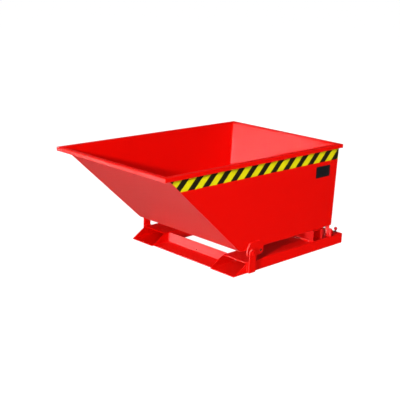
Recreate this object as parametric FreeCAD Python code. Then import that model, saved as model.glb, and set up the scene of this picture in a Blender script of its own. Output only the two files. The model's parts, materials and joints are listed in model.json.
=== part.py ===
import FreeCAD
import Part
import math
import os

from FreeCAD import Vector

# Low tipping skip for a fork truck: a sheet-steel trough that tips forward on two pivots over a base of
# two fork pockets, with a hand bolt at the rear that locks it down.
# Frame: X forward (towards the pouring lip), Y to the left, Z up, millimetres. The origin is on the floor
# under the middle of the whole skip. Stations along X are measured from the front edge of the front
# angle first and then moved to that origin.

# Base frame
BASE_WIDTH = 960.0          # over both fork pockets
POCKET_TAIL = 159.0         # pockets behind the heel of the trough
POCKET_WIDTH = 208.0        # outside
POCKET_HEIGHT = 70.0        # outside
POCKET_WALL = 4.0
POCKET_CORNER = 6.0         # outer corner radius of the pocket section
POCKET_NOSE = 14.0          # pockets in front of the front angle
POCKET_SLANT = 112.0        # set-back of the top edge at the slanted front end
CROSS_DEPTH = 138.0         # forward leg of the front angle
CROSS_SHEET = 5.0
CROSS_BEND = 8.0            # outer bend radius of the front angle
CROSS_HOLE_D = 12.0
CROSS_HOLE_HEIGHT = 20.0
BEAM_DEPTH = 100.0          # tube that carries the rear of the trough, along X
BEAM_HEIGHT = 80.0
BEAM_WALL = 5.0
BEAM_CORNER = 8.0
BEAM_INSET = 66.0           # rear face of the beam, in front of the heel of the trough

# Trough
SIDE_INSET = 10.0           # side panels inside the outer faces of the pockets
TROUGH_DEPTH = 563.0        # from the underside of the floor to the top edge
SHEET = 3.0
BEND = 6.0                  # inner bend radius of the wrap sheet
FLOOR_LENGTH = 864.0        # from the knee under the chute to the heel under the back wall
CHUTE_RUN = 632.0           # from the knee forward to the top of the chute
BACK_RAKE = 21.0            # how far the top of the back wall leans to the rear
SIDE_TAIL = 36.0            # side panels behind the back wall
RIM_WIDTH = 32.0
RIM_HEIGHT = 25.0
RIM_WALL = 2.5
RIM_CORNER = 3.5            # outer corner radius of the rim sections
LIP_WIDTH = 24.0            # top face of the lip
REAR_BAR = 6.0              # thickness of the flat bar across the rear of the rim
SEAT_GAP = 0.3              # floor over the rear beam

# Pivots
PIVOT_SETBACK = 128.0       # behind the front edge of the front angle
PIVOT_DROP = 20.0           # below the underside of the floor
KNEE_AHEAD = 86.0           # knee of the trough in front of the pivot
PIN_D = 20.0
PIN_PROUD = 5.0             # pin outside the lug
PIN_TAIL = 9.0              # pin inside the roll pin
PIN_CHAMFER = 1.5
PIN_FIT = 0.08              # radial clearance on the pin
SIDE_PLAY = 0.3             # clearance along the pin on each side of the hinge plate
LUG_WIDTH = 56.0
LUG_THICK = 10.0
LUG_FOOT = 5.0              # lug above the floor
PACKING = 10.0              # packing plate between pocket and lug
HINGE_THICK = 10.0
HINGE_FRONT = 30.0          # front edge of the hinge plate, in front of the pivot
HINGE_FOOT = 25.0           # lower edge, below the pivot
HINGE_LAP = 43.0            # hinge plate up the side panel
HINGE_NOSE = 8.0            # front end of its top edge, in front of the pivot
HINGE_SHOULDER = 5.0        # lower end of its front slope, above the floor
HINGE_TAIL = 24.0           # rear edge, behind the lashing eye
HINGE_CREST = 10.0          # rear end of its top edge, in front of the lashing eye
HINGE_TOE_R = 20.0          # round of the two lower corners
HINGE_TOP_R = 7.0           # round of the upper corners
EYE_SPACING = 91.0          # lashing eye behind the pivot
EYE_D = 17.0
SPACER_D = 36.0
WASHER_D = 33.0
WASHER_THICK = 3.0
ROLL_PIN_D = 5.0
ROLL_PIN_LENGTH = 32.0
ROLL_PIN_WALL = 1.0
ROLL_PIN_SLOT = 0.8

# Rear bolt
BOLT_INSET = 14.0           # bolt axis inside the outer face of the side panel
BOLT_RISE = 17.0            # bolt axis above the fork pocket
GUIDE_PLATE_WIDTH = 48.0
GUIDE_PLATE_HEIGHT = 55.0
GUIDE_PLATE_THICK = 12.0
GUIDE_PLATE_CORNER = 8.0
GUIDE_D = 22.0
GUIDE_LENGTH = 36.0
BOLT_D = 12.0
BOLT_FIT = 0.08             # radial clearance in the guide
BOLT_TRAVEL = 20.0
BOLT_PROUD = 5.0            # bolt in front of the guide plate when it is drawn back
BOLT_CHAMFER = 2.0
BOLT_TAIL = 26.0            # straight bolt behind the guide when it is drawn back
BOLT_BEND = 10.0            # centre-line radius of the upturned handle
HANDLE_RISE = 9.0           # straight handle above its bend
KNOB_D = 23.0
KNOB_FLAT_D = 15.0          # flat underside of the knob
KNOB_CROWN_D = 5.0          # flat on top of the knob
KNOB_BANDS = 7              # rows of small flats that round the knob
KNOB_SIDES = 18
KNOB_SEAT = 1.0             # knob above the end of the bend
STOP_PIN_D = 5.0
STOP_PIN_PROUD = 1.0        # stop pin above the guide tube
STOP_SLACK = 0.5            # room round the stop pin in its slot
KEEPER_WIDTH = 28.0
KEEPER_THICK = 8.0
KEEPER_EDGE = 7.0           # keeper below its hole
KEEPER_CORNER = 6.0
KEEPER_LAP = 40.0           # keeper up the inside of the side panel
KEEPER_SETBACK = 18.0       # rear face of the keeper, behind the heel of the trough
KEEPER_GAP = 9.0            # guide plate behind the keeper
KEEPER_HOLE_FIT = 1.5       # radial clearance round the bolt

# Hazard tape
TAPE_WIDTH = 70.0
TAPE_THICK = 0.4
TAPE_BELOW_RIM = 9.0
TAPE_EDGE = 2.0             # tape short of the panel's ends

# Heights
pocket_top = POCKET_HEIGHT
beam_top = pocket_top + BEAM_HEIGHT
floor_z = beam_top + SEAT_GAP
trough_top = floor_z + TROUGH_DEPTH
rim_z = trough_top - RIM_HEIGHT
pivot_z = floor_z - PIVOT_DROP
bolt_z = pocket_top + BOLT_RISE

# Half widths
pocket_out = BASE_WIDTH / 2
pocket_in = pocket_out - POCKET_WIDTH
side_out = pocket_out - SIDE_INSET
side_in = side_out - SHEET
rim_out = side_out + RIM_WIDTH
hinge_out = side_out + HINGE_THICK
lug_in = pocket_out + PACKING
lug_out = lug_in + LUG_THICK
washer_in = side_out - SIDE_PLAY - WASHER_THICK
roll_pin_y = washer_in - ROLL_PIN_D / 2
bolt_y = side_out - BOLT_INSET

# Stations along X
lip_reach = KNEE_AHEAD + CHUTE_RUN + LIP_WIDTH - PIVOT_SETBACK
base_length = PIVOT_SETBACK - KNEE_AHEAD + FLOOR_LENGTH + POCKET_TAIL
front_x = (base_length - lip_reach) / 2
rear_x = front_x - base_length
nose_x = front_x + POCKET_NOSE
pivot_x = front_x - PIVOT_SETBACK
eye_x = pivot_x - EYE_SPACING
knee_x = pivot_x + KNEE_AHEAD
heel_x = knee_x - FLOOR_LENGTH
chute_top_x = knee_x + CHUTE_RUN
lip_x = chute_top_x + LIP_WIDTH
beam_x = heel_x + BEAM_INSET
keeper_x = heel_x - KEEPER_SETBACK
guide_plate_x = keeper_x - KEEPER_GAP
guide_x = guide_plate_x - GUIDE_PLATE_THICK
guide_end_x = guide_x - GUIDE_LENGTH
handle_x = guide_end_x - BOLT_TAIL - BOLT_BEND
slot_length = BOLT_TRAVEL + STOP_PIN_D + 2 * STOP_SLACK
slot_rear_x = guide_end_x + (GUIDE_LENGTH - slot_length) / 2
stop_pin_x = slot_rear_x + STOP_SLACK + STOP_PIN_D / 2

FORWARD = Vector(1, 0, 0)
LEFT = Vector(0, 1, 0)
UP = Vector(0, 0, 1)


def chute_x(z):
    """Outer face of the chute at a height."""
    return knee_x + CHUTE_RUN * (z - floor_z) / TROUGH_DEPTH


def back_x(z):
    """Outer face of the back wall at a height."""
    return heel_x - BACK_RAKE * (z - floor_z) / TROUGH_DEPTH


def tail_x(z):
    """Rear edge of the side panels at a height."""
    return back_x(z) - SIDE_TAIL


def bar_x(z):
    """Front face of the rear rim bar at a height."""
    return tail_x(z) + REAR_BAR


def level_step(thickness, run):
    """Thickness of a sloping wall, measured level, for the wall's run over the trough's depth."""
    return thickness * math.hypot(run, TROUGH_DEPTH) / TROUGH_DEPTH


def rounded(before, here, after, radius):
    """First, middle and last point of the arc that rounds one corner of an outline."""
    to_before = (before - here).normalize()
    to_after = (after - here).normalize()
    half = to_before.getAngle(to_after) / 2
    run = radius / math.tan(half)
    bisector = (to_before + to_after).normalize()
    middle = here + bisector * (radius / math.sin(half) - radius)
    return here + to_before * run, middle, here + to_after * run


def outline(corners):
    """Face inside a loop of (point, radius) corners, each rounded by its radius."""
    stops = []
    for i, (point, radius) in enumerate(corners):
        following = corners[(i + 1) % len(corners)][0]
        sharp = (point, None, point)
        stops.append(rounded(corners[i - 1][0], point, following, radius) if radius > 0 else sharp)
    edges = []
    for i, (start, middle, end) in enumerate(stops):
        if middle:
            edges.append(Part.Arc(start, middle, end).toShape())
        following = stops[(i + 1) % len(stops)][0]
        if not end.isEqual(following, 1e-6):
            edges.append(Part.LineSegment(end, following).toShape())
    return Part.Face(Part.Wire(edges))


def side_on(corners, y_from, y_to):
    """Solid between two widths whose outline, seen from the side, has (x, z, radius) corners."""
    face = outline([(Vector(x, y_from, z), radius) for x, z, radius in corners])
    return face.extrude(LEFT * (y_to - y_from))


def end_on(corners, x_from, x_to):
    """Solid between two stations whose outline, seen from the end, has (y, z, radius) corners."""
    face = outline([(Vector(x_from, y, z), radius) for y, z, radius in corners])
    return face.extrude(FORWARD * (x_to - x_from))


def rectangle(low_a, high_a, low_b, high_b, radius):
    return [(low_a, low_b, radius), (high_a, low_b, radius), (high_a, high_b, radius), (low_a, high_b, radius)]


def section_pair(low_a, high_a, low_b, high_b, wall, radius):
    """Outer and inner outline of a rectangular tube."""
    outer = rectangle(low_a, high_a, low_b, high_b, radius)
    inner = rectangle(low_a + wall, high_a - wall, low_b + wall, high_b - wall, max(radius - wall, 0))
    return outer, inner


def bar(diameter, length, start, direction):
    return Part.makeCylinder(diameter / 2, length, start, direction)


def ring(outer_d, inner_d, length, start, direction):
    return bar(outer_d, length, start, direction).cut(bar(inner_d, length, start, direction))


def fork_pocket():
    """Rectangular pocket for one fork, open at both ends, with its front end cut on a slant."""
    outer, inner = section_pair(pocket_in, pocket_out, 0, pocket_top, POCKET_WALL, POCKET_CORNER)
    tube = end_on(outer, rear_x, nose_x).cut(end_on(inner, rear_x, nose_x))
    waste = [(nose_x, 0, 0), (nose_x, pocket_top, 0), (nose_x - POCKET_SLANT, pocket_top, 0)]
    return tube.cut(side_on(waste, pocket_in, pocket_out))


def front_cross_angle():
    """Bent angle between the pockets: an upright web, and a leg that lies forward on the floor."""
    web_x = front_x - CROSS_DEPTH
    web_front = web_x + CROSS_SHEET
    angle = side_on([
        (front_x, 0, 0), (front_x, CROSS_SHEET, 0), (web_front, CROSS_SHEET, CROSS_BEND - CROSS_SHEET),
        (web_front, pocket_top, 0), (web_x, pocket_top, 0), (web_x, 0, CROSS_BEND)], -pocket_in, pocket_in)
    return angle.cut(bar(CROSS_HOLE_D, CROSS_SHEET, Vector(web_x, 0, CROSS_HOLE_HEIGHT), FORWARD))


def rear_support_beam():
    """Rectangular tube across both pockets that the trough's floor rests on; its ends are open."""
    outer, inner = section_pair(beam_x, beam_x + BEAM_DEPTH, pocket_top, beam_top, BEAM_WALL, BEAM_CORNER)
    return side_on(outer, -pocket_out, pocket_out).cut(side_on(inner, -pocket_out, pocket_out))


def pivot_lug():
    """Upright flat bar outside the pocket, rounded over the pivot pin that it holds."""
    half = LUG_WIDTH / 2
    lug = side_on([
        (pivot_x - half, LUG_FOOT, 0), (pivot_x + half, LUG_FOOT, 0),
        (pivot_x + half, pivot_z + half, half), (pivot_x - half, pivot_z + half, half)], lug_in, lug_out)
    return lug.cut(bar(PIN_D, LUG_THICK, Vector(pivot_x, lug_in, pivot_z), LEFT))


def lug_packing():
    """Plate that holds the lug off the pocket, so that the spacer fits between lug and hinge plate."""
    half = LUG_WIDTH / 2
    return side_on(rectangle(pivot_x - half, pivot_x + half, LUG_FOOT, pocket_top, 0), pocket_out, lug_in)


def pivot_pin():
    """Pin held in the lug, chamfered, with a cross hole near its inner end for the roll pin."""
    inner_end = roll_pin_y - PIN_TAIL
    pin = bar(PIN_D, lug_out + PIN_PROUD - inner_end, Vector(pivot_x, inner_end, pivot_z), LEFT)
    pin = pin.makeChamfer(PIN_CHAMFER, [e for e in pin.Edges if isinstance(e.Curve, Part.Circle)])
    return pin.cut(bar(ROLL_PIN_D, 2 * PIN_D, Vector(pivot_x, roll_pin_y, pivot_z - PIN_D), UP))


def pivot_spacer():
    """Thick ring on the pin between the hinge plate and the lug."""
    start = hinge_out + SIDE_PLAY
    return ring(SPACER_D, PIN_D + 2 * PIN_FIT, lug_in - start, Vector(pivot_x, start, pivot_z), LEFT)


def pivot_washer():
    """Washer on the pin between the hinge plate and the roll pin."""
    return ring(WASHER_D, PIN_D + 2 * PIN_FIT, WASHER_THICK, Vector(pivot_x, washer_in, pivot_z), LEFT)


def pivot_roll_pin():
    """Slotted spring pin through the inner end of the pivot pin."""
    low = pivot_z - ROLL_PIN_LENGTH / 2
    start = Vector(pivot_x, roll_pin_y, low)
    pin = ring(ROLL_PIN_D, ROLL_PIN_D - 2 * ROLL_PIN_WALL, ROLL_PIN_LENGTH, start, UP)
    slot = end_on(rectangle(roll_pin_y - ROLL_PIN_SLOT / 2, roll_pin_y + ROLL_PIN_SLOT / 2,
                            low, low + ROLL_PIN_LENGTH, 0), pivot_x, pivot_x + ROLL_PIN_D)
    return pin.cut(slot)


def trough_wrap():
    """One sheet between the side panels, bent into the chute, the floor, the back wall and its top flange."""
    inner_floor = floor_z + SHEET
    flange_z = trough_top - SHEET
    chute_step = level_step(SHEET, CHUTE_RUN)
    back_step = level_step(SHEET, BACK_RAKE)
    return side_on([
        (chute_top_x, trough_top, 0), (knee_x, floor_z, BEND + SHEET), (heel_x, floor_z, BEND + SHEET),
        (back_x(flange_z), flange_z, BEND), (bar_x(flange_z), flange_z, 0), (bar_x(trough_top), trough_top, 0),
        (back_x(trough_top) + back_step, trough_top, BEND + SHEET),
        (back_x(inner_floor) + back_step, inner_floor, BEND),
        (chute_x(inner_floor) - chute_step, inner_floor, BEND),
        (chute_top_x - chute_step, trough_top, 0)], -side_in, side_in)


def side_panel():
    """Flat panel that closes one side of the trough and covers the edge of the wrap sheet."""
    return side_on([
        (chute_top_x, trough_top, 0), (knee_x, floor_z, BEND + SHEET), (tail_x(floor_z), floor_z, BEND + SHEET),
        (tail_x(rim_z), rim_z, 0), (bar_x(rim_z), rim_z, 0), (bar_x(trough_top), trough_top, 0)],
        side_in, side_out)


def side_rim():
    """Rectangular tube along the top of one side panel, capped in front and cut to the rear bar's rake."""
    outer, inner = section_pair(side_out, rim_out, rim_z, trough_top, RIM_WALL, RIM_CORNER)
    rear = bar_x(trough_top)
    tube = end_on(outer, rear, lip_x).cut(end_on(inner, rear, lip_x - RIM_WALL))
    waste = [(rear, rim_z, 0), (bar_x(rim_z), rim_z, 0), (rear, trough_top, 0)]
    return tube.cut(side_on(waste, side_out, rim_out))


def front_lip():
    """Box edge along the top of the chute, fitted to the chute's slope, between the side rims."""
    step = level_step(RIM_WALL, CHUTE_RUN)
    low, high = rim_z + RIM_WALL, trough_top - RIM_WALL
    front = lip_x - RIM_WALL
    inner_r = RIM_CORNER - RIM_WALL
    lip = side_on([
        (chute_x(rim_z), rim_z, 0), (lip_x, rim_z, RIM_CORNER), (lip_x, trough_top, RIM_CORNER),
        (chute_top_x, trough_top, 0)], -side_out, side_out)
    hollow = side_on([
        (chute_x(low) + step, low, 0), (front, low, inner_r), (front, high, inner_r),
        (chute_x(high) + step, high, 0)], -side_out, side_out)
    return lip.cut(hollow)


def rear_rim_bar():
    """Flat bar across the rear, against the back wall's flange; it closes the rear ends of the side rims."""
    return side_on([
        (bar_x(rim_z), rim_z, 0), (bar_x(trough_top), trough_top, 0),
        (tail_x(trough_top), trough_top, 0), (tail_x(rim_z), rim_z, 0)], -rim_out, rim_out)


def hinge_plate():
    """Plate on the side panel that hangs below the floor, with the pivot bore and a lashing eye."""
    foot, crown = pivot_z - HINGE_FOOT, floor_z + HINGE_LAP
    front, rear = pivot_x + HINGE_FRONT, eye_x - HINGE_TAIL
    shape = side_on([
        (front, foot, HINGE_TOE_R), (front, floor_z + HINGE_SHOULDER, HINGE_TOP_R),
        (pivot_x + HINGE_NOSE, crown, HINGE_TOP_R), (eye_x + HINGE_CREST, crown, HINGE_TOP_R),
        (rear, floor_z, HINGE_TOP_R), (rear, foot, HINGE_TOE_R)], side_out, hinge_out)
    bore = bar(PIN_D + 2 * PIN_FIT, HINGE_THICK, Vector(pivot_x, side_out, pivot_z), LEFT)
    return shape.cut(bore).cut(bar(EYE_D, HINGE_THICK, Vector(eye_x, side_out, pivot_z), LEFT))


def lock_keeper():
    """Plate on the inside of the side panel's tail, with the hole that the rear bolt enters below it."""
    half = KEEPER_WIDTH / 2
    high = floor_z + KEEPER_LAP
    hole_d = BOLT_D + 2 * KEEPER_HOLE_FIT
    low = bolt_z - hole_d / 2 - KEEPER_EDGE
    keeper = end_on([
        (bolt_y - half, high, KEEPER_CORNER), (side_in, high, 0), (side_in, floor_z, 0),
        (bolt_y + half, floor_z, 0), (bolt_y + half, low, KEEPER_CORNER), (bolt_y - half, low, KEEPER_CORNER)],
        keeper_x, keeper_x + KEEPER_THICK)
    return keeper.cut(bar(hole_d, KEEPER_THICK, Vector(keeper_x, bolt_y, bolt_z), FORWARD))


def hazard_tape():
    """Adhesive tape along the side panel under the rim, trimmed along the chute and the rear edge."""
    high = rim_z - TAPE_BELOW_RIM
    low = high - TAPE_WIDTH
    return side_on([
        (tail_x(low) + TAPE_EDGE, low, 0), (chute_x(low) - TAPE_EDGE, low, 0),
        (chute_x(high) - TAPE_EDGE, high, 0), (tail_x(high) + TAPE_EDGE, high, 0)],
        side_out, side_out + TAPE_THICK)


def lock_guide_plate():
    """Upright plate on the left pocket that the bolt slides through."""
    half = GUIDE_PLATE_WIDTH / 2
    high = pocket_top + GUIDE_PLATE_HEIGHT
    upright = end_on([
        (bolt_y - half, pocket_top, 0), (bolt_y + half, pocket_top, 0),
        (bolt_y + half, high, GUIDE_PLATE_CORNER), (bolt_y - half, high, GUIDE_PLATE_CORNER)],
        guide_x, guide_plate_x)
    return upright.cut(bar(BOLT_D + 2 * BOLT_FIT, GUIDE_PLATE_THICK, Vector(guide_x, bolt_y, bolt_z), FORWARD))


def lock_guide_tube():
    """Guide tube behind the plate, slotted on top for the stop pin."""
    start = Vector(guide_end_x, bolt_y, bolt_z)
    tube = ring(GUIDE_D, BOLT_D + 2 * BOLT_FIT, GUIDE_LENGTH, start, FORWARD)
    half = STOP_PIN_D / 2 + STOP_SLACK
    slot = end_on(rectangle(bolt_y - half, bolt_y + half, bolt_z, bolt_z + GUIDE_D, 0),
                  slot_rear_x, slot_rear_x + slot_length)
    return tube.cut(slot)


def lock_bolt():
    """Round bolt, drawn back, with its rear end turned up as a handle and drilled for the stop pin."""
    bend_start = Vector(handle_x + BOLT_BEND, bolt_y, bolt_z)
    bend_end = Vector(handle_x, bolt_y, bolt_z + BOLT_BEND)
    centre = bend_start + UP * BOLT_BEND
    middle = centre - (FORWARD + UP).normalize() * BOLT_BEND
    top = bend_end + UP * HANDLE_RISE
    shank = bar(BOLT_D, guide_plate_x + BOLT_PROUD - bend_start.x, bend_start, FORWARD)
    tip = max((e for e in shank.Edges if isinstance(e.Curve, Part.Circle)), key=lambda e: e.CenterOfMass.x)
    shank = shank.makeChamfer(BOLT_CHAMFER, [tip])
    bend = Part.Arc(bend_start, middle, bend_end).toShape()
    path = Part.Wire([bend, Part.LineSegment(bend_end, top).toShape()])
    profile = Part.Wire([Part.makeCircle(BOLT_D / 2, bend_start, FORWARD * -1)])
    bolt = shank.fuse(path.makePipeShell([profile], True, False)).removeSplitter()
    return bolt.cut(bar(STOP_PIN_D, BOLT_D, Vector(stop_pin_x, bolt_y, bolt_z), UP))


def lock_knob():
    """Ball knob with a flat underside and crown, worked in small flats and pushed onto the handle."""
    foot = Vector(handle_x, bolt_y, bolt_z + BOLT_BEND + KNOB_SEAT)
    lowest = -math.acos(KNOB_FLAT_D / KNOB_D)
    highest = math.acos(KNOB_CROWN_D / KNOB_D)
    turns = [2 * math.pi * k / KNOB_SIDES for k in range(KNOB_SIDES)]
    rings = []
    for i in range(KNOB_BANDS + 1):
        rise = lowest + (highest - lowest) * i / KNOB_BANDS
        middle = foot + UP * (KNOB_D / 2 * (math.sin(rise) - math.sin(lowest)))
        reach = KNOB_D / 2 * math.cos(rise)
        ring_points = [middle + (FORWARD * math.cos(a) + LEFT * math.sin(a)) * reach for a in turns]
        rings.append(ring_points + ring_points[:1])
    flats = [Part.Face(Part.makePolygon(rings[0])), Part.Face(Part.makePolygon(rings[-1]))]
    for low, high in zip(rings, rings[1:]):
        for k in range(KNOB_SIDES):
            flats.append(Part.Face(Part.makePolygon([low[k], low[k + 1], high[k + 1], high[k], low[k]])))
    ball = Part.Solid(Part.Shell(flats))
    return ball.cut(bar(BOLT_D, HANDLE_RISE - KNOB_SEAT, foot, UP))


def lock_stop_pin():
    """Pin in the bolt that runs in the guide's slot and sets the bolt's travel."""
    return bar(STOP_PIN_D, GUIDE_D / 2 + STOP_PIN_PROUD, Vector(stop_pin_x, bolt_y, bolt_z), UP)


single_pieces = [
    front_cross_angle, rear_support_beam, trough_wrap, front_lip, rear_rim_bar, lock_keeper,
    lock_guide_plate, lock_guide_tube, lock_bolt, lock_knob, lock_stop_pin]
paired_pieces = [fork_pocket, pivot_lug, lug_packing, pivot_pin, side_panel, side_rim, hinge_plate, hazard_tape]
small_pairs = [pivot_spacer, pivot_washer, pivot_roll_pin]      # both sides share one node


def right_hand(shape):
    return shape.mirror(Vector(0, 0, 0), LEFT)


nodes = {make.__name__: [make()] for make in single_pieces}
for make in paired_pieces:
    nodes[make.__name__ + "_left"] = [make()]
    nodes[make.__name__ + "_right"] = [right_hand(make())]
for make in small_pairs:
    nodes[make.__name__ + "s"] = [make(), right_hand(make())]

os.makedirs("parts", exist_ok=True)
for name, shapes in nodes.items():
    if any(len(shape.Solids) != 1 or not shape.isValid() for shape in shapes):
        raise RuntimeError(f"{name} isn't made of sound solids")
    solids = [shape.Solids[0] for shape in shapes]
    whole = solids[0] if len(solids) == 1 else Part.makeCompound(solids)
    whole.exportStep(f"parts/{name}.step")
print(f"{len(nodes)} nodes; lip {lip_x:.1f}, rear {rear_x:.1f}, top {trough_top:.1f}")
print(f"pivot at {pivot_x:.1f}, {pivot_z:.1f}; bolt at {bolt_y:.1f}, {bolt_z:.1f}; handle {handle_x:.1f}")
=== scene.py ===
import json
import math
import bmesh
import bpy
from mathutils import Matrix, Vector


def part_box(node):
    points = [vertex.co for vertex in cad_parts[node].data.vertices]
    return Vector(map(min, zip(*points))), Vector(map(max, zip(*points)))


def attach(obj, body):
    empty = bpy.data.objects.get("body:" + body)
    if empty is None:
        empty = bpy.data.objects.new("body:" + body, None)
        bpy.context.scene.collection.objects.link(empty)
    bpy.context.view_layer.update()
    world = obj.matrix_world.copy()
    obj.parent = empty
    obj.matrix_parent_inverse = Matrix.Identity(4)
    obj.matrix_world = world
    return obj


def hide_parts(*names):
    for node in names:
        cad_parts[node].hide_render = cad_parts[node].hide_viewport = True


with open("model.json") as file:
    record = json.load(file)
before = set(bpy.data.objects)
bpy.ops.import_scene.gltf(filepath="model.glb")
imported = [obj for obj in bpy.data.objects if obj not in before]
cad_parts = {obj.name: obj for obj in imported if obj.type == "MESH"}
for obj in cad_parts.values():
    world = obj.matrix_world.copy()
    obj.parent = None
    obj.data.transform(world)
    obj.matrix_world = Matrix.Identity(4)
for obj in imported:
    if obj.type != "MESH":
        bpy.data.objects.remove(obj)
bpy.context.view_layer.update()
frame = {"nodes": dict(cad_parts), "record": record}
nodes = frame["nodes"]
slotOf = {part["node"]: part["material_slot"] for part in frame["record"]["subparts"]}
mm = 0.001
forward, left, up = Vector((1, 0, 0)), Vector((0, 1, 0)), Vector((0, 0, 1))
print("frame:", len(nodes), "nodes")


class Wire:  # an output socket; maths on it adds Math nodes
    def __init__(self, finish, socket):
        self.finish = finish
        self.socket = socket

    def maths(self, operation, first, second):
        return self.finish.node("ShaderNodeMath", {"operation": operation}, {0: first, 1: second})

    def __add__(self, other):
        return self.maths("ADD", self, other)

    def __radd__(self, other):
        return self.maths("ADD", other, self)

    def __sub__(self, other):
        return self.maths("SUBTRACT", self, other)

    def __rsub__(self, other):
        return self.maths("SUBTRACT", other, self)

    def __mul__(self, other):
        return self.maths("MULTIPLY", self, other)

    def __rmul__(self, other):
        return self.maths("MULTIPLY", other, self)

    def __mod__(self, other):
        return self.maths("FLOORED_MODULO", self, other)

    def __gt__(self, other):
        return self.maths("GREATER_THAN", self, other)

    def __lt__(self, other):
        return self.maths("LESS_THAN", self, other)


class Finish:  # a material, or the surroundings, while its nodes are wired
    def __init__(self, owner):
        owner.use_nodes = True
        self.owner = owner
        self.tree = owner.node_tree
        self.tree.nodes.clear()

    def pick(self, sockets, key):
        return sockets[key] if isinstance(key, int) else next(s for s in sockets if s.name == key and s.enabled)

    def node(self, kind, settings, sockets, output=0):
        made = self.tree.nodes.new(kind)
        for key, value in settings.items():
            setattr(made, key, value)
        for key, value in sockets.items():
            socket = self.pick(made.inputs, key)
            if isinstance(value, Wire):
                self.tree.links.new(value.socket, socket)
            else:
                socket.default_value = value
        return Wire(self, self.pick(made.outputs, output)) if made.outputs else self.owner

    def place(self):  # metres in the part's own frame
        return self.node("ShaderNodeTexCoord", {}, {}, "Object")

    def along(self, axis):
        return self.node("ShaderNodeSeparateXYZ", {}, {"Vector": self.place()}, axis)

    def noise(self, scale, detail=2.0, stretch=(1, 1, 1)):
        spot = self.node("ShaderNodeVectorMath", {"operation": "MULTIPLY"}, {0: self.place(), 1: stretch})
        return self.node("ShaderNodeTexNoise", {}, {"Vector": spot, "Scale": scale, "Detail": detail})

    def blend(self, share, first, second):
        return self.node("ShaderNodeMix", {"data_type": "RGBA"}, {"Factor": share, "A": first, "B": second}, "Result")

    def bump(self, height, strength, depth):
        return self.node("ShaderNodeBump", {}, {"Height": height, "Strength": strength, "Distance": depth})

    def spotMask(self, axes, place, reach, edge):  # 1 in a round spot, 0 from its reach on
        first, second = (self.along(axis) - middle for axis, middle in zip(axes, place))
        near = 1.0 - (first * first + second * second) * (1 / reach ** 2)
        return self.node("ShaderNodeMath", {"operation": "MULTIPLY", "use_clamp": True}, {0: near, 1: edge})

    def surface(self, sockets):
        shader = self.node("ShaderNodeBsdfPrincipled", {}, sockets)
        return self.node("ShaderNodeOutputMaterial", {}, {"Surface": shader})


redPaint = {
    "deep": (0.57, 0.0014, 0.0003, 1), "bright": (0.62, 0.0019, 0.0005, 1),  # slow drift of the coat's red
    "cloudScale": 3.0, "peelScale": 380.0, "dustScale": 1500.0,  # per metre
    "peelDepth": 0.12 * mm, "peelStrength": 0.35, "dustInPeel": 0.2,
    "roughness": 0.44, "roughSpread": 0.10, "specular": 0.75, "coat": 0.22, "coatRoughness": 0.12,
    "paintedEyeShade": (0.05, 0.001, 0.0006, 1), "paintedEyeShadeRoughness": 0.45, "paintedEyeShadeEdge": 8.0,  # painted shade inside the lashing eyes
    "eyePlace": (6.5 * mm, 130.3 * mm), "eyeReach": 9.6 * mm}


def makeRedPaint():
    finish = Finish(bpy.data.materials.new("redPowderCoat"))
    cloud = finish.noise(redPaint["cloudScale"], detail=3.0)
    peel = finish.noise(redPaint["peelScale"], detail=1.0)
    dust = finish.noise(redPaint["dustScale"])
    # painted shade: a dark, rougher round spot of paint in each lashing eye
    paintedEyeShade = finish.spotMask("XZ", redPaint["eyePlace"], redPaint["eyeReach"], redPaint["paintedEyeShadeEdge"])
    red = finish.blend(cloud, redPaint["deep"], redPaint["bright"])
    rough = (dust - 0.5) * redPaint["roughSpread"] + redPaint["roughness"]
    return finish.surface({
        "Base Color": finish.blend(paintedEyeShade, red, redPaint["paintedEyeShade"]),
        "Roughness": rough + paintedEyeShade * redPaint["paintedEyeShadeRoughness"],
        "Specular IOR Level": redPaint["specular"], "Coat Weight": redPaint["coat"],
        "Coat Roughness": redPaint["coatRoughness"],
        "Normal": finish.bump(peel + dust * redPaint["dustInPeel"], redPaint["peelStrength"], redPaint["peelDepth"])})


zincSteel = {
    "dull": (0.44, 0.41, 0.34, 1), "bright": (0.72, 0.69, 0.60, 1),
    "bloomScale": 160.0, "grainScale": 900.0, "drawn": (0.08, 1, 1),  # the grain runs along the bar
    "grainDepth": 0.03 * mm, "grainStrength": 0.3, "roughness": 0.26, "roughSpread": 0.22}


def makeZincSteel():
    finish = Finish(bpy.data.materials.new("zincPlatedSteel"))
    bloom = finish.noise(zincSteel["bloomScale"], detail=4.0)
    grain = finish.noise(zincSteel["grainScale"], stretch=zincSteel["drawn"])
    return finish.surface({
        "Base Color": finish.blend(bloom, zincSteel["dull"], zincSteel["bright"]), "Metallic": 1.0,
        "Roughness": grain * zincSteel["roughSpread"] + zincSteel["roughness"],
        "Normal": finish.bump(grain, zincSteel["grainStrength"], zincSteel["grainDepth"])})


hazardTape = {
    "yellow": (0.58, 0.52, 0.002, 1), "black": (0.009, 0.008, 0.004, 1), "faded": (0.50, 0.46, 0.004, 1),
    "stripes": (0.39474, 8.11119, 0.28461), "yellowShare": 0.522,  # stripes counted along x plus z, slightly stretched
    "fadeScale": 26.0, "weaveScale": 1400.0, "weaveDepth": 0.03 * mm, "weaveStrength": 0.4,
    "roughness": 0.38, "roughSpread": 0.12}


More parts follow.
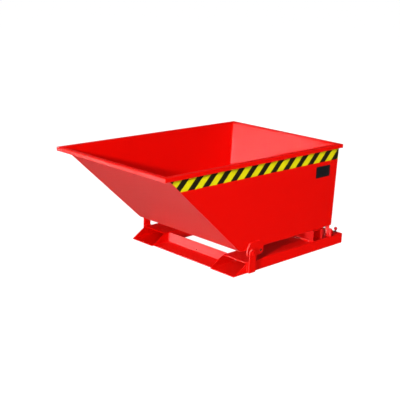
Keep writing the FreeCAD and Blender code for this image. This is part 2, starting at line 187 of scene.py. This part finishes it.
def makeHazardTape():
    finish = Finish(bpy.data.materials.new("hazardTape"))
    slant = finish.along("X") + finish.along("Z")  # stripes lean to the rear at 45 degrees
    start, rate, stretch = hazardTape["stripes"]
    stripe = (slant * (slant * stretch + rate) + start) % 1.0 < hazardTape["yellowShare"]
    fade = finish.noise(hazardTape["fadeScale"], detail=4.0)
    weave = finish.noise(hazardTape["weaveScale"], detail=1.0)
    yellow = finish.blend(fade, hazardTape["yellow"], hazardTape["faded"])
    return finish.surface({
        "Base Color": finish.blend(stripe, hazardTape["black"], yellow),
        "Roughness": fade * hazardTape["roughSpread"] + hazardTape["roughness"],
        "Normal": finish.bump(weave, hazardTape["weaveStrength"], hazardTape["weaveDepth"])})


ballPlastic = {"dark": (0.30, 0.004, 0.010, 1), "light": (0.40, 0.006, 0.014, 1), "scale": 240.0, "depth": 0.02 * mm,
               "strength": 0.2, "roughness": 0.18, "roughSpread": 0.1, "coat": 0.4, "coatRoughness": 0.05}


def makeBallPlastic():
    finish = Finish(bpy.data.materials.new("ballPlastic"))
    cloud = finish.noise(ballPlastic["scale"])
    return finish.surface({
        "Base Color": finish.blend(cloud, ballPlastic["dark"], ballPlastic["light"]),
        "Roughness": cloud * ballPlastic["roughSpread"] + ballPlastic["roughness"],
        "Coat Weight": ballPlastic["coat"], "Coat Roughness": ballPlastic["coatRoughness"],
        "Normal": finish.bump(cloud, ballPlastic["strength"], ballPlastic["depth"])})


plateFilm = {"black": (0.004, 0.004, 0.005, 1), "grey": (0.011, 0.011, 0.012, 1), "scale": 900.0, "depth": 0.03 * mm,
             "strength": 0.3, "roughness": 0.36, "roughSpread": 0.15}


def makePlateFilm():
    finish = Finish(bpy.data.materials.new("darkPlateFilm"))
    grain = finish.noise(plateFilm["scale"], detail=3.0)
    return finish.surface({
        "Base Color": finish.blend(grain, plateFilm["black"], plateFilm["grey"]),
        "Roughness": grain * plateFilm["roughSpread"] + plateFilm["roughness"],
        "Normal": finish.bump(grain, plateFilm["strength"], plateFilm["depth"])})


finishOf = {
    "red_paint": makeRedPaint(), "zinc_steel": makeZincSteel(),
    "red_knob": makeBallPlastic(), "hazard_tape": makeHazardTape()}
print("finishes:", len(finishOf))


# Every rigid node keeps its solid; its sharp edges are broken as a coat of paint breaks them.
edgeBreak = {"merge": 0.02 * mm, "flat": 0.3, "sharp": 32.0, "steps": 2, "flatWeight": 100, "usual": 0.7 * mm,
             "widths": {"trough_wrap": 0.5 * mm, "side_panel_left": 0.6 * mm, "side_panel_right": 0.6 * mm,
                        "pivot_lug_left": 1.2 * mm, "pivot_lug_right": 1.2 * mm,
                        "hinge_plate_left": 1.2 * mm, "hinge_plate_right": 1.2 * mm,
                        "lock_guide_plate": 1.2 * mm, "lock_keeper": 1.0 * mm,
                        "pivot_roll_pins": 0.12 * mm, "lock_stop_pin": 0.4 * mm, "lock_guide_tube": 0.4 * mm,
                        "hazard_tape_left": 0.1 * mm, "hazard_tape_right": 0.1 * mm}}


def makeSeamCloser():  # geometry nodes that join split corners before the bevel
    tree = bpy.data.node_groups.new("seamCloser", "GeometryNodeTree")
    for direction in ("INPUT", "OUTPUT"):
        tree.interface.new_socket("Geometry", in_out=direction, socket_type="NodeSocketGeometry")
    start = tree.nodes.new("NodeGroupInput")
    plain = tree.nodes.new("GeometryNodeRemoveAttribute")
    plain.inputs["Name"].default_value = "custom_normal"
    merge = tree.nodes.new("GeometryNodeMergeByDistance")
    merge.inputs["Distance"].default_value = edgeBreak["merge"]
    smooth = tree.nodes.new("GeometryNodeSetShadeSmooth")
    end = tree.nodes.new("NodeGroupOutput")
    chain = [start, plain, merge, smooth, end]
    for first, second in zip(chain, chain[1:]):
        tree.links.new(first.outputs[0], second.inputs[0])
    return tree


seamCloser = makeSeamCloser()


def breakEdges(node):
    piece = nodes[node]
    piece.modifiers.new("close", "NODES").node_group = seamCloser
    flat = piece.modifiers.new("flat", "DECIMATE")
    flat.decimate_type = "DISSOLVE"
    flat.angle_limit = math.radians(edgeBreak["flat"])
    bevel = piece.modifiers.new("bevel", "BEVEL")
    bevel.width = edgeBreak["widths"].get(node, edgeBreak["usual"])
    bevel.segments = edgeBreak["steps"]
    bevel.limit_method = "ANGLE"
    bevel.angle_limit = math.radians(edgeBreak["sharp"])
    smooth = piece.modifiers.new("smooth", "WEIGHTED_NORMAL")  # large flat faces stay flat
    smooth.mode = "FACE_AREA"
    smooth.weight = edgeBreak["flatWeight"]


for node, piece in nodes.items():
    piece.data.materials.clear()
    piece.data.materials.append(finishOf[slotOf[node]])
    breakEdges(node)
print("edges broken and finishes given")


def addPiece(name, bm, body, material, smooth=True):
    mesh = bpy.data.meshes.new(name)
    bmesh.ops.recalc_face_normals(bm, faces=bm.faces)
    bm.to_mesh(mesh)
    bm.free()
    for face in mesh.polygons:
        face.use_smooth = smooth
    piece = bpy.data.objects.new(name, mesh)
    bpy.context.scene.collection.objects.link(piece)
    piece.data.materials.append(material)
    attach(piece, body)
    return piece


def lathe(bm, profile, foot, steps):  # (radius, height) points turned about an upright line
    turns = [2 * math.pi * i / steps for i in range(steps)]
    rings = []
    for radius, height in profile:
        points = [Vector((radius * math.cos(a), radius * math.sin(a), height)) for a in turns]
        rings.append([bm.verts.new(foot + point) for point in points])
    for low, high in zip(rings, rings[1:]):
        for i in range(steps):
            bm.faces.new((low[i], low[i - 1], high[i - 1], high[i]))
    for ring in (rings[0], rings[-1]):
        bm.faces.new(ring)


ballKnob = {"steps": 48, "bands": 26, "flat": 15.0 * mm, "edge": 0.6 * mm, "crown": 0.9 * mm, "lift": 0.05 * mm}


def makeBallKnob():
    low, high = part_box("lock_knob")
    radius = (high.x - low.x) / 2
    foot = Vector(((low.x + high.x) / 2, (low.y + high.y) / 2, low.z))
    dip = -math.acos(ballKnob["flat"] / 2 / radius)
    top = math.acos(ballKnob["crown"] / radius)
    profile = [(ballKnob["flat"] / 2 - ballKnob["edge"], 0)]
    for i in range(ballKnob["bands"] + 1):
        angle = dip + (top - dip) * i / ballKnob["bands"]
        height = radius * (math.sin(angle) - math.sin(dip)) + ballKnob["lift"]
        profile.append((radius * math.cos(angle), height))
    bm = bmesh.new()
    lathe(bm, profile, foot, ballKnob["steps"])
    knob = addPiece("ballKnob", bm, "bolt", finishOf["red_knob"])
    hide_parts("lock_knob")


makeBallKnob()
print("ball knob turned")


# The bare dark plate on the left panel: a thin plate with round corners and a pressed border
darkPlate = {"rear": -652.5 * mm, "front": -509.5 * mm, "low": 505.0 * mm, "high": 581.0 * mm, "corner": 5.0 * mm,
             "arcSteps": 5, "leastCorner": 0.4 * mm, "thick": 0.7 * mm, "bevel": 0.15 * mm,
             "border": 4.0 * mm, "groove": 1.2 * mm, "slope": 0.3 * mm, "sunk": 0.35 * mm}


def roundedOutline(low, high, corner, steps):  # (x, z) points, anticlockwise
    points = []
    centres = [(high[0] - corner, low[1] + corner, -0.5), (high[0] - corner, high[1] - corner, 0),
               (low[0] + corner, high[1] - corner, 0.5), (low[0] + corner, low[1] + corner, 1)]
    for x, z, turn in centres:
        for i in range(steps + 1):
            angle = math.pi * (turn + 0.5 * i / steps)
            points.append((x + corner * math.cos(angle), z + corner * math.sin(angle)))
    return points


def makeDarkPlate():
    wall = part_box("side_panel_left")[1].y
    size = darkPlate
    thick, border = size["thick"], size["border"]
    pressed = thick - size["sunk"]
    inside = border + size["groove"]
    layers = [(0, 0), (0, thick - size["bevel"]), (size["bevel"], thick), (border, thick),
              (border + size["slope"], pressed), (inside, pressed), (inside + size["slope"], thick)]
    bm = bmesh.new()
    rings = []
    for inset, height in layers:
        low = (size["rear"] + inset, size["low"] + inset)
        high = (size["front"] - inset, size["high"] - inset)
        corner = max(size["corner"] - inset, size["leastCorner"])
        outline = roundedOutline(low, high, corner, size["arcSteps"])
        rings.append([bm.verts.new((x, wall + height, z)) for x, z in outline])
    for inner, outer in zip(rings[1:], rings):
        for i in range(len(outer)):
            bm.faces.new((outer[i - 1], outer[i], inner[i], inner[i - 1]))
    bm.faces.new(rings[0])
    bm.faces.new(rings[-1])
    addPiece("darkPlate", bm, "trough", makePlateFilm(), smooth=False)


makeDarkPlate()
print("dark plate set on the left panel")


# Weld beads: rippled fillets along the seams
weldBead = {"ripple": 3.2 * mm, "stepsPerRipple": 3, "sectionSteps": 4, "sunk": 0.6 * mm, "taper": 7.0 * mm,
            "endShare": 0.35, "swell": 0.32, "lag": 0.55, "facing": 0.99, "faceDepth": 0.1 * mm, "slack": 1e-9}


def pathLength(points):
    return sum((b - a).length for a, b in zip(points, points[1:]))


def faceLoops(node, look):  # outlines of the flat face that lies furthest along a direction, longest first
    bm = bmesh.new()
    bm.from_mesh(nodes[node].data)
    bmesh.ops.remove_doubles(bm, verts=bm.verts, dist=edgeBreak["merge"])
    bm.normal_update()
    reach = max(v.co.dot(look) for v in bm.verts)
    flat = {f for f in bm.faces if f.normal.dot(look) > weldBead["facing"]
            and reach - f.calc_center_median().dot(look) < weldBead["faceDepth"]}
    beside = {}
    for edge in bm.edges:
        if len(flat.intersection(edge.link_faces)) == 1:
            for here, there in (edge.verts, reversed(edge.verts)):
                beside.setdefault(here.index, []).append(there.index)
    spots = [v.co.copy() for v in bm.verts]
    bm.free()
    loops = []
    while beside:
        here = next(iter(beside))
        loop = []
        while here in beside:
            loop.append(here)
            onward = [i for i in beside.pop(here) if i in beside]
            here = onward[0] if onward else None
        loops.append([spots[i] for i in loop])
    return sorted(loops, key=pathLength, reverse=True)


def walk(points, step):  # evenly spaced points with their headings and how far along they are
    total = pathLength(points)
    count = max(2, round(total / step))
    marks = [total * i / count for i in range(count + 1)]
    found = []
    gone = 0.0
    for start, end in zip(points, points[1:]):
        span = (end - start).length
        while len(found) <= count and marks[len(found)] <= gone + span + weldBead["slack"]:
            share = (marks[len(found)] - gone) / span if span else 0
            found.append(start.lerp(end, share))
        gone += span
    headings = [(found[min(i + 1, count)] - found[max(i - 1, 0)]).normalized() for i in range(len(found))]
    return list(zip(found, headings, marks))


def layBead(bm, points, sides, leg, crown):
    # sides(point, heading) gives the two directions that the bead spreads in and the way it bulges
    total = pathLength(points)
    rings = []
    for point, heading, gone in walk(points, weldBead["ripple"] / weldBead["stepsPerRipple"]):
        first, second, out = sides(point, heading)
        end = max(0.0, min(gone, total - gone))
        fade = weldBead["endShare"] + (1 - weldBead["endShare"]) * math.sqrt(min(1.0, end / weldBead["taper"]))
        ring = [point - out * weldBead["sunk"]]
        for i in range(weldBead["sectionSteps"] + 1):
            t = i / weldBead["sectionSteps"]
            arch = 4 * t * (1 - t)
            wave = 0.5 + 0.5 * math.cos(2 * math.pi * (gone / weldBead["ripple"] + weldBead["lag"] * arch))
            rise = crown * arch * (1 - weldBead["swell"] + weldBead["swell"] * wave)
            ring.append(point + ((first * (1 - t) + second * t) * leg + out * rise) * fade)
        rings.append([bm.verts.new(p) for p in ring])
    for here, there in zip(rings, rings[1:]):
        for i in range(len(here)):
            bm.faces.new((here[i - 1], here[i], there[i], there[i - 1]))
    bm.faces.new(rings[0])
    bm.faces.new(rings[-1])


def laySeam(bm, start, end, sides, leg, crown):  # a straight bead
    layBead(bm, [Vector(start), Vector(end)], sides, leg, crown)


def fixed(first, second, out=None):  # the same spread all along a straight seam
    bulge = out or (first + second).normalized()
    return lambda point, heading: (first, second, bulge)


def stitches(start, end, length, pitch):  # short runs spread evenly between two ends
    span = (end - start).length
    count = max(1, int(span / pitch))
    way = (end - start).normalized()
    for i in range(count):
        middle = start + way * span * (i + 0.5) / count
        yield [middle - way * length / 2, middle + way * length / 2]


baseWelds = {"beamLeg": 8.5 * mm, "lugLeg": 4.0 * mm, "lugEdge": 3.2 * mm, "angleLeg": 4.5 * mm, "guideLeg": 4.0 * mm,
             "pinLeg": 3.0 * mm, "pinCrown": 0.6 * mm, "pinTurns": 40, "crown": 1.0 * mm, "clear": 3.0 * mm,
             "angleSheet": 5.0 * mm, "offFold": 15.0 * mm, "offEdge": 30.0 * mm}


def makeBaseWelds():
    size = baseWelds
    bm = bmesh.new()
    beamLow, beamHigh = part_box("rear_support_beam")
    angleLow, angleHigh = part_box("front_cross_angle")
    webFront = angleLow.x + size["angleSheet"]
    footTop = angleLow.z + size["angleSheet"]
    for side in (1, -1):
        hand = "left" if side > 0 else "right"
        out = left * side
        pocketLow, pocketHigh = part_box("fork_pocket_" + hand)
        packLow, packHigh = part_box("lug_packing_" + hand)
        pocketIn = min(abs(pocketLow.y), abs(pocketHigh.y)) * side
        pocketOut = max(abs(pocketLow.y), abs(pocketHigh.y)) * side
        lugIn = max(abs(packLow.y), abs(packHigh.y)) * side
        top = pocketHigh.z
        inset = size["clear"] * side
        for x, way in ((beamHigh.x, forward), (beamLow.x, -forward)):  # beam on the pocket
            laySeam(bm, (x, pocketIn + inset, top), (x, pocketOut - 2 * inset, top), fixed(way, up),
                    size["beamLeg"], size["crown"])
        for x, way in ((packHigh.x, forward), (packLow.x, -forward)):  # packing on the pocket, lug on the packing
            low, high = packLow.z + size["clear"], packHigh.z - 2 * size["clear"]
            laySeam(bm, (x, pocketOut, low), (x, pocketOut, high), fixed(way, out), size["lugLeg"], size["crown"])
            laySeam(bm, (x, lugIn, low), (x, lugIn, high), fixed(-out, out, way), size["lugEdge"], size["crown"])
        laySeam(bm, (packLow.x + size["clear"], lugIn, packHigh.z), (packHigh.x - size["clear"], lugIn, packHigh.z),
                fixed(-out, up), size["lugLeg"], size["crown"])
        webLow, webHigh = angleLow.z + size["offFold"], angleHigh.z - size["clear"]
        footRear, footFront = webFront + size["offFold"], angleHigh.x - size["offEdge"]
        laySeam(bm, (webFront, pocketIn, webLow), (webFront, pocketIn, webHigh),  # the angle's web, then its foot
                fixed(forward, -out), size["angleLeg"], size["crown"])
        laySeam(bm, (footRear, pocketIn, footTop), (footFront, pocketIn, footTop), fixed(up, -out),
                size["angleLeg"], size["crown"])
        pinLow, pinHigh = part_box("pivot_pin_" + hand)
        lugLow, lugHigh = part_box("pivot_lug_" + hand)
        centre = (pinLow + pinHigh) / 2
        centre.y = max(abs(lugLow.y), abs(lugHigh.y)) * side
        radius = (pinHigh.x - pinLow.x) / 2
        turns = [2 * math.pi * i / size["pinTurns"] for i in range(size["pinTurns"] + 1)]
        circle = [centre + Vector((math.cos(a), 0, math.sin(a))) * radius for a in turns]

        def roundPin(point, heading, centre=centre, out=out):
            away = (point - centre).normalized()
            return away, out, (away + out).normalized()

        layBead(bm, circle, roundPin, size["pinLeg"], size["pinCrown"])
    plateLow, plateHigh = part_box("lock_guide_plate")
    pocketTop = plateLow.z
    for x, way in ((plateHigh.x, forward), (plateLow.x, -forward)):  # guide plate on the pocket
        laySeam(bm, (x, plateLow.y, pocketTop), (x, plateHigh.y - 2 * size["clear"], pocketTop), fixed(way, up),
                size["guideLeg"], size["crown"])
    addPiece("baseWelds", bm, "base", finishOf["red_paint"])


makeBaseWelds()

troughWelds = {"hingeLeg": 3.0 * mm, "seamLeg": 2.4 * mm, "insideLeg": 3.2 * mm, "rimLeg": 4.2 * mm,
               "lipLeg": 4.2 * mm, "keeperLeg": 4.0 * mm, "crown": 1.0 * mm, "seamCrown": 0.5 * mm,
               "stitch": 40.0 * mm, "pitch": 165.0 * mm, "offTop": 60.0 * mm, "underFlange": 8.0 * mm}


def wrapChains(side):  # outer and inner outline of the wrap sheet's end, from the chute's top to the rear flange
    loop = faceLoops("trough_wrap", left * side)[0]
    first = max(range(len(loop)), key=lambda i: loop[i].x)
    loop = loop[first:] + loop[:first]
    if loop[1].z > loop[-1].z:
        loop = [loop[0]] + loop[:0:-1]
    last = min(range(len(loop)), key=lambda i: loop[i].x)
    return loop[:last + 1], loop[:last:-1]


def makeTroughWelds():
    size = troughWelds
    bm = bmesh.new()
    wrapLow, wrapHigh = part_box("trough_wrap")
    middle = (wrapLow + wrapHigh) / 2
    lipLow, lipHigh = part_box("front_lip")
    for side in (1, -1):
        hand = "left" if side > 0 else "right"
        out = left * side
        plate = faceLoops("hinge_plate_" + hand, -out)[0]
        heart = sum(plate, Vector()) / len(plate)
        lowest = min(range(len(plate)), key=lambda i: plate[i].z)
        plate = plate[lowest:] + plate[:lowest]
        upper = [p for p in plate if p.z > wrapLow.z + size["seamLeg"]]

        def roundPlate(point, heading, heart=heart, out=out):
            away = heading.cross(out)
            away = away if away.dot(point - heart) > 0 else -away
            return away, out, (away + out).normalized()

        layBead(bm, upper, roundPlate, size["hingeLeg"], size["crown"])
        outer, inner = wrapChains(side)

        def acrossSeam(point, heading, out=out):
            away = heading.cross(out)
            away = away if away.dot(point - middle) > 0 else -away
            return -out, out, away

        def inCorner(point, heading, out=out):
            inward = heading.cross(out)
            inward = inward if inward.dot(point - middle) < 0 else -inward
            return inward, -out, (inward - out).normalized()

        def behindBack(point, heading, out=out):
            rearward = heading.cross(out)
            rearward = rearward if rearward.x < 0 else -rearward
            return rearward, -out, (rearward - out).normalized()

        knee = outer[1]
        chute = [outer[0].lerp(knee, size["offTop"] / (outer[0] - knee).length), knee]
        layBead(bm, chute, acrossSeam, size["seamLeg"], size["seamCrown"])
        rear = [p for p in outer if p.x < middle.x]
        heel = max((p for p in rear if p.z < middle.z), key=lambda p: p.z)
        flange = min((p for p in rear if p.z > middle.z), key=lambda p: p.z)
        layBead(bm, [heel, flange], behindBack, size["insideLeg"], size["seamCrown"])
        inside = [p for p in inner if p.x > middle.x or p.z < wrapHigh.z - size["underFlange"]]
        layBead(bm, inside, inCorner, size["insideLeg"], size["seamCrown"])
        rimLow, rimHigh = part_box("side_rim_" + hand)
        wall = min(abs(rimLow.y), abs(rimHigh.y)) * side
        rimRear = Vector((rimLow.x, wall, rimLow.z))
        rimFront = Vector((wrapHigh.x - size["pitch"] / 2, wall, rimLow.z))
        for run in stitches(rimRear, rimFront, size["stitch"], size["pitch"]):
            layBead(bm, run, fixed(-up, out), size["rimLeg"], size["crown"])
    outer = wrapChains(1)[0]
    slope = (outer[1] - outer[0]).normalized()
    drop = (lipHigh.z - lipLow.z) / -slope.z
    seat = outer[0] + slope * drop
    lipRight, lipLeft = Vector((seat.x, wrapLow.y, seat.z)), Vector((seat.x, wrapHigh.y, seat.z))
    for run in stitches(lipRight, lipLeft, size["stitch"], size["pitch"]):
        layBead(bm, run, fixed(slope, forward), size["lipLeg"], size["crown"])
    laySeam(bm, (wrapLow.x, wrapLow.y, wrapHigh.z), (wrapLow.x, wrapHigh.y, wrapHigh.z),  # rear rim bar on the flange
            fixed(forward, -forward, up), size["seamLeg"], size["seamCrown"])
    keepLow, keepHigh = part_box("lock_keeper")
    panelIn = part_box("side_panel_left")[0].y
    for x, way in ((keepHigh.x, forward), (keepLow.x, -forward)):  # keeper on the inside of the panel
        laySeam(bm, (x, panelIn, wrapLow.z + size["keeperLeg"]), (x, panelIn, keepHigh.z), fixed(way, -left),
                size["keeperLeg"], size["crown"])
    addPiece("troughWelds", bm, "trough", finishOf["red_paint"])


makeTroughWelds()
print("welds laid")


# Floor, light and camera
paleFloor = {"reach": 60.0, "steps": 96, "sink": 0.2 * mm, "glow": 1.0,
             "grey": (0.08, 0.08, 0.08, 1), "pale": (1, 1, 1, 1), "shade": (0.05, 0.004, 0.003, 1),
             "shadePlace": (49.0 * mm, -42.0 * mm), "shadeReach": 26.0 * mm,  # behind the tether hole
             "shadeEdge": 2.0}


def makePaleFloor():
    finish = Finish(bpy.data.materials.new("paleFloor"))
    shade = finish.spotMask("XY", paleFloor["shadePlace"], paleFloor["shadeReach"], paleFloor["shadeEdge"])
    finish.surface({"Base Color": paleFloor["grey"], "Roughness": 1.0, "Specular IOR Level": 0.0,
                    "Emission Color": finish.blend(shade, paleFloor["pale"], paleFloor["shade"]),
                    "Emission Strength": paleFloor["glow"]})
    bm = bmesh.new()
    reach, steps = paleFloor["reach"], paleFloor["steps"]
    bmesh.ops.create_uvsphere(bm, u_segments=steps, v_segments=steps // 2, radius=reach)
    bmesh.ops.delete(bm, geom=[v for v in bm.verts if v.co.z < -mm], context="VERTS")  # a dome over the floor
    bmesh.ops.create_circle(bm, cap_ends=True, segments=steps, radius=reach)
    mesh = bpy.data.meshes.new("paleFloor")
    bm.to_mesh(mesh)
    bm.free()
    floor = bpy.data.objects.new("paleFloor", mesh)
    floor.location.z = -paleFloor["sink"]
    floor.data.materials.append(finish.owner)
    floor.visible_diffuse = floor.visible_glossy = floor.visible_shadow = False  # the glow light stands in for it
    bpy.context.scene.collection.objects.link(floor)


studioSky = {"dark": (0.02, 0.02, 0.02, 1), "pale": (0.05, 0.05, 0.05, 1), "turn": 1.5}  # pale only low on the right


def makeStudioSky():
    world = bpy.data.worlds.new("studioSky")
    finish = Finish(world)
    way = finish.node("ShaderNodeTexCoord", {}, {}, "Generated")
    right = finish.node("ShaderNodeSeparateXYZ", {}, {"Vector": way}, "Y") * -studioSky["turn"]
    low = finish.node("ShaderNodeSeparateXYZ", {}, {"Vector": way}, "Z") < 0.0
    share = finish.node("ShaderNodeMath", {"operation": "MULTIPLY", "use_clamp": True}, {0: right, 1: low})
    colour = finish.blend(share, studioSky["dark"], studioSky["pale"])
    sky = finish.node("ShaderNodeBackground", {}, {"Color": colour})
    finish.node("ShaderNodeOutputWorld", {}, {"Surface": sky})
    bpy.context.scene.world = world


studioLights = {  # azimuth from the front towards the left, height angle, distance, width, power, what it lights
    "key": (24, 16.5, 12.0, 0.5, 2300, "matt"),
    "soft": (20, 42, 7.0, 2.0, 150, "soft"),
    "sheen": (-45, -15, 6.0, 3.0, 75, "gloss"),
    "chuteSheen": (-66, -58, 6.0, 3.0, 57, "gloss"),
    "glint": (32, 20, 6.0, 0.8, 40, "gloss"),
    "slopes": (-45, 27, 6.0, 1.5, 110, "gloss"),
    "noses": (-92, 51, 6.0, 1.5, 32, "gloss"),
    "low": (10.9, 2.0, 12.0, 0.3, 1000, "both"),
    "beamFill": (50, 4, 7.0, 2.0, 270, "matt"),
    "side": (18, 16, 12.0, 0.4, 2900, "matt"),
    "sideFill": (100, -8, 7.0, 2.0, 145, "matt"),
    "noseFill": (20, 35, 7.0, 1.0, 140, "matt"),
    "over": (90, 40, 7.0, 2.0, 155, "matt"),
    "fill": (126, -14, 7.0, 3.0, 118, "matt"),
    "top": (0, 88, 6.0, 5.0, 120, "matt"),
    "rear": (215, 35, 7.0, 3.0, 260, "matt"),
    "glow": (0, -90, 0.4, 12.0, 320, "matt")}
lightTarget = Vector((0, 0, 0.35))
beam, leftPocket, rightPocket = ["rear_support_beam"], ["fork_pocket_left"], ["fork_pocket_right"]
leftPivot = ["hinge_plate_left", "pivot_lug_left"]
rightSide = ["side_panel_right", "hazard_tape_right", "hinge_plate_right", "pivot_lug_right", "lug_packing_right",
             "fork_pocket_right"]  # as dull as the left side
lightOnly = {"low": beam, "beamFill": beam, "side": leftPocket, "sideFill": leftPocket,
             "noseFill": leftPocket + rightPocket, "slopes": leftPivot}
lightNot = {"key": beam + leftPocket, "over": leftPocket, "soft": beam + leftPocket + rightPocket,  # dim below
            "glow": rightPocket, "sheen": beam + rightSide, "chuteSheen": beam + rightSide,
            "glint": beam + rightSide, "noses": beam + rightSide}


def chooseNodes(spot, chosen, state):
    group = bpy.data.collections.new(spot.name)
    for node in chosen:
        group.objects.link(nodes[node])
    for entry in group.collection_objects:
        entry.light_linking.link_state = state
    spot.light_linking.receiver_collection = group


def makeStudioLights():
    for name, (turn, rise, distance, width, power, lights) in studioLights.items():
        lamp = bpy.data.lights.new(name, "AREA")
        lamp.energy = power
        lamp.size = width
        lamp.use_shadow = lights in ("matt", "both")  # gloss and soft light reach into the hollows too
        lamp.cycles.use_multiple_importance_sampling = False
        a, e = math.radians(turn), math.radians(rise)
        way = Vector((math.cos(e) * math.cos(a), math.cos(e) * math.sin(a), math.sin(e)))
        spot = bpy.data.objects.new(name, lamp)
        spot.location = lightTarget + way * distance
        spot.rotation_euler = (-way).to_track_quat("-Z", "Y").to_euler()
        spot.visible_diffuse = lights != "gloss"
        spot.visible_glossy = lights in ("gloss", "both")
        bpy.context.scene.collection.objects.link(spot)
        if name in lightOnly:
            chooseNodes(spot, lightOnly[name], "INCLUDE")
        if name in lightNot:
            chooseNodes(spot, lightNot[name], "EXCLUDE")


photoView = {"place": (3.79232, 3.75430, 1.82712), "yaw": 0.7908, "pitch": 0.2718, "roll": 0.036,
             "focal": 847.1741, "picture": 400, "sensor": 36.0}  # focal length in the picture's pixels


def makeCamera():
    view = photoView
    look = Vector((-math.cos(view["yaw"]) * math.cos(view["pitch"]),
                   -math.sin(view["yaw"]) * math.cos(view["pitch"]), -math.sin(view["pitch"])))
    side = look.cross(up).normalized()
    top = side.cross(look)
    turn = Matrix.Rotation(-view["roll"], 3, look)
    camera = bpy.data.objects.new("photoView", bpy.data.cameras.new("photoView"))
    camera.data.sensor_width = view["sensor"]
    camera.data.lens = view["focal"] * view["sensor"] / view["picture"]
    axes = Matrix((turn @ side, turn @ top, -look)).transposed()
    camera.matrix_world = Matrix.Translation(view["place"]) @ axes.to_4x4()
    bpy.context.scene.collection.objects.link(camera)
    bpy.context.scene.camera = camera


makePaleFloor()
makeStudioSky()
makeStudioLights()
makeCamera()
bpy.context.scene.view_settings.view_transform = "Standard"
print("stage set")
